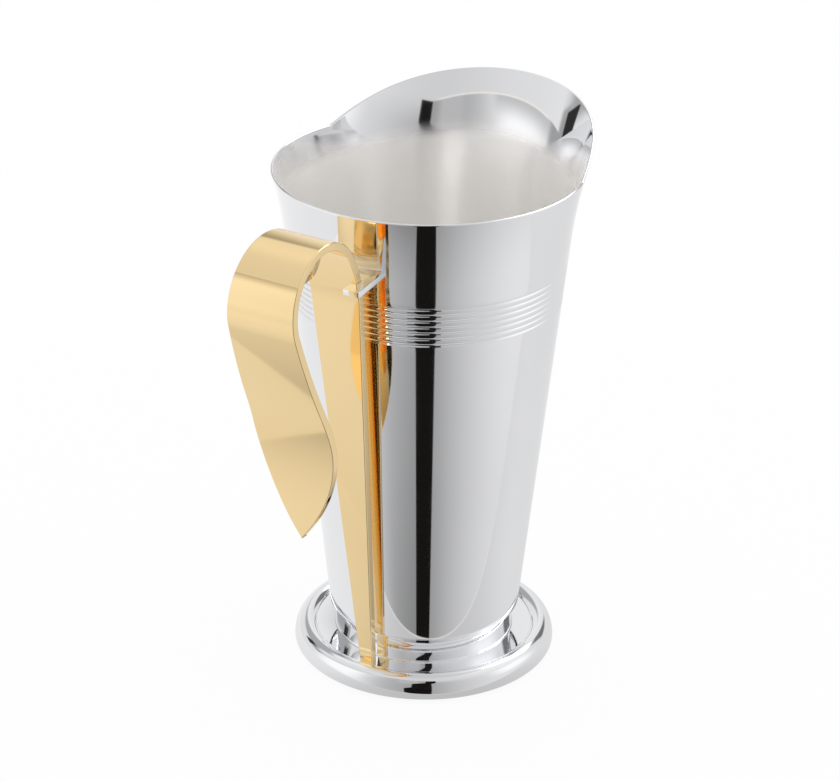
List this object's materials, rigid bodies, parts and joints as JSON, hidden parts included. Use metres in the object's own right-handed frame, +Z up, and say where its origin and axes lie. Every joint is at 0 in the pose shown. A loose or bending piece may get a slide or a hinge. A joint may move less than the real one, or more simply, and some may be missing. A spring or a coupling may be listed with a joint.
{
  "type": "water pitcher",
  "caption": "Tapered metal water pitcher on a stepped round foot, with a raised pouring lip and one bent ribbon as its looped handle.",
  "frame": {"origin": "on the cup's axis, at the level of the table that the foot rests on", "axes": "+Z up along the cup's axis, +X towards the pouring lip, -X towards the handle, +Y to the left as seen from the handle towards the lip"},
  "size_m": [0.1896, 0.1238, 0.2298],
  "materials": {
    "silver": "silver-plated and polished to a mirror, satin inside the cup",
    "gold": "pale gold plate, polished"
  },
  "bodies": {
    "root": {"body": "silver", "bottom_disc": "silver", "pouring_lip": "silver", "foot": "silver", "handle": "gold", "handle_bracket": "silver"}
  },
  "joints": []
}
